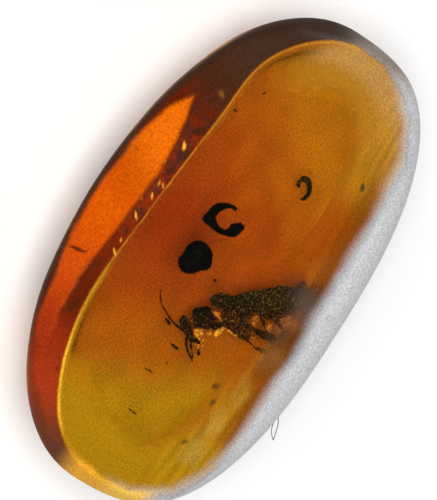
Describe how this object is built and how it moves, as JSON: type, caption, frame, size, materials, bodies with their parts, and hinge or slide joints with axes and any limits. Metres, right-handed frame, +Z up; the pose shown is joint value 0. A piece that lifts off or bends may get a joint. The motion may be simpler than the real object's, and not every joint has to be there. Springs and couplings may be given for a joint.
{
  "type": "insect in amber",
  "caption": "Polished oval piece of clear golden-orange amber with a flat window on top, a bevelled side and a rounded side, holding a small fossil insect and dark specks.",
  "frame": {"origin": "middle of the stone's box, on the surface that it lies on", "axes": "+X along the stone's length, +Y towards its bevelled long side, +Z up through the polished window"},
  "size_m": [0.0316, 0.0214, 0.0085],
  "materials": {
    "amber": "hand-polished clear amber, deep orange in the thick and golden where thin"
  },
  "bodies": {
    "root": {"amber_stone": "amber"}
  },
  "joints": []
}
